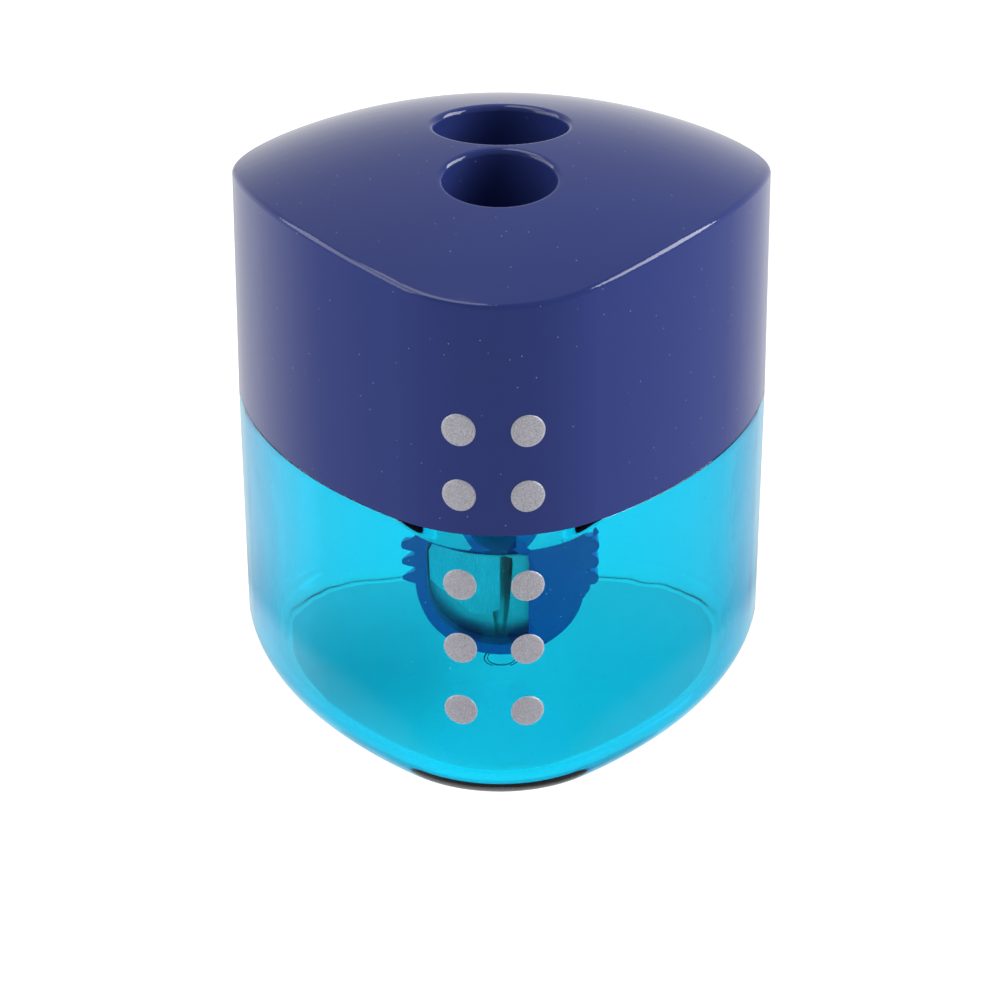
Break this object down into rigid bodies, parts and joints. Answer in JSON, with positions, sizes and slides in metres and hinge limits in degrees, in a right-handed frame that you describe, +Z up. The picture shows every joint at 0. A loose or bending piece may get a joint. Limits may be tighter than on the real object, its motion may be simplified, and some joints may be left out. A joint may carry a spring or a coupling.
{
  "type": "pencil sharpener",
  "caption": "Hand-held canister pencil sharpener: domed cap with a standard and a jumbo pencil hole over a metal block with steel blades, on a see-through shavings container.",
  "frame": {"origin": "where the three-fold axis of the rounded three-sided plan meets the flat base", "axes": "+Z up along the pencil holes; the rounded corner with the grip dots and the thumb recess towards -Y; X across, the plan symmetrical about X = 0"},
  "size_m": [0.045, 0.044, 0.0477],
  "materials": {
    "blue_gloss_plastic": "polished injection-moulded plastic, dark blue",
    "clear_cyan_plastic": "see-through tinted plastic, polished",
    "blue_carrier_plastic": "moulded plastic, dark blue",
    "cast_block_metal": "die-cast light alloy, lightly brushed",
    "blade_steel": "hardened steel, ground edge",
    "screw_steel": "turned steel with a yellow passivated surface",
    "dot_paint": "printed silver-grey paint, fine metallic speckle"
  },
  "bodies": {
    "container": {"container": "clear_cyan_plastic", "container_dot_1": "dot_paint", "container_dot_2": "dot_paint", "container_dot_3": "dot_paint", "container_dot_4": "dot_paint", "container_dot_5": "dot_paint", "container_dot_6": "dot_paint"},
    "cap": {"cap_shell": "blue_gloss_plastic", "blade_carrier": "blue_carrier_plastic", "sharpener_block": "cast_block_metal", "standard_blade": "blade_steel", "jumbo_blade": "blade_steel", "standard_blade_screw": "screw_steel", "jumbo_blade_screw": "screw_steel", "cap_dot_1": "dot_paint", "cap_dot_2": "dot_paint", "cap_dot_3": "dot_paint", "cap_dot_4": "dot_paint"}
  },
  "joints": [
    {"name": "lift_off", "type": "slide", "parent": "container", "child": "cap", "axis": [0, 0, 1], "range_m": [0, 0.026]}
  ]
}
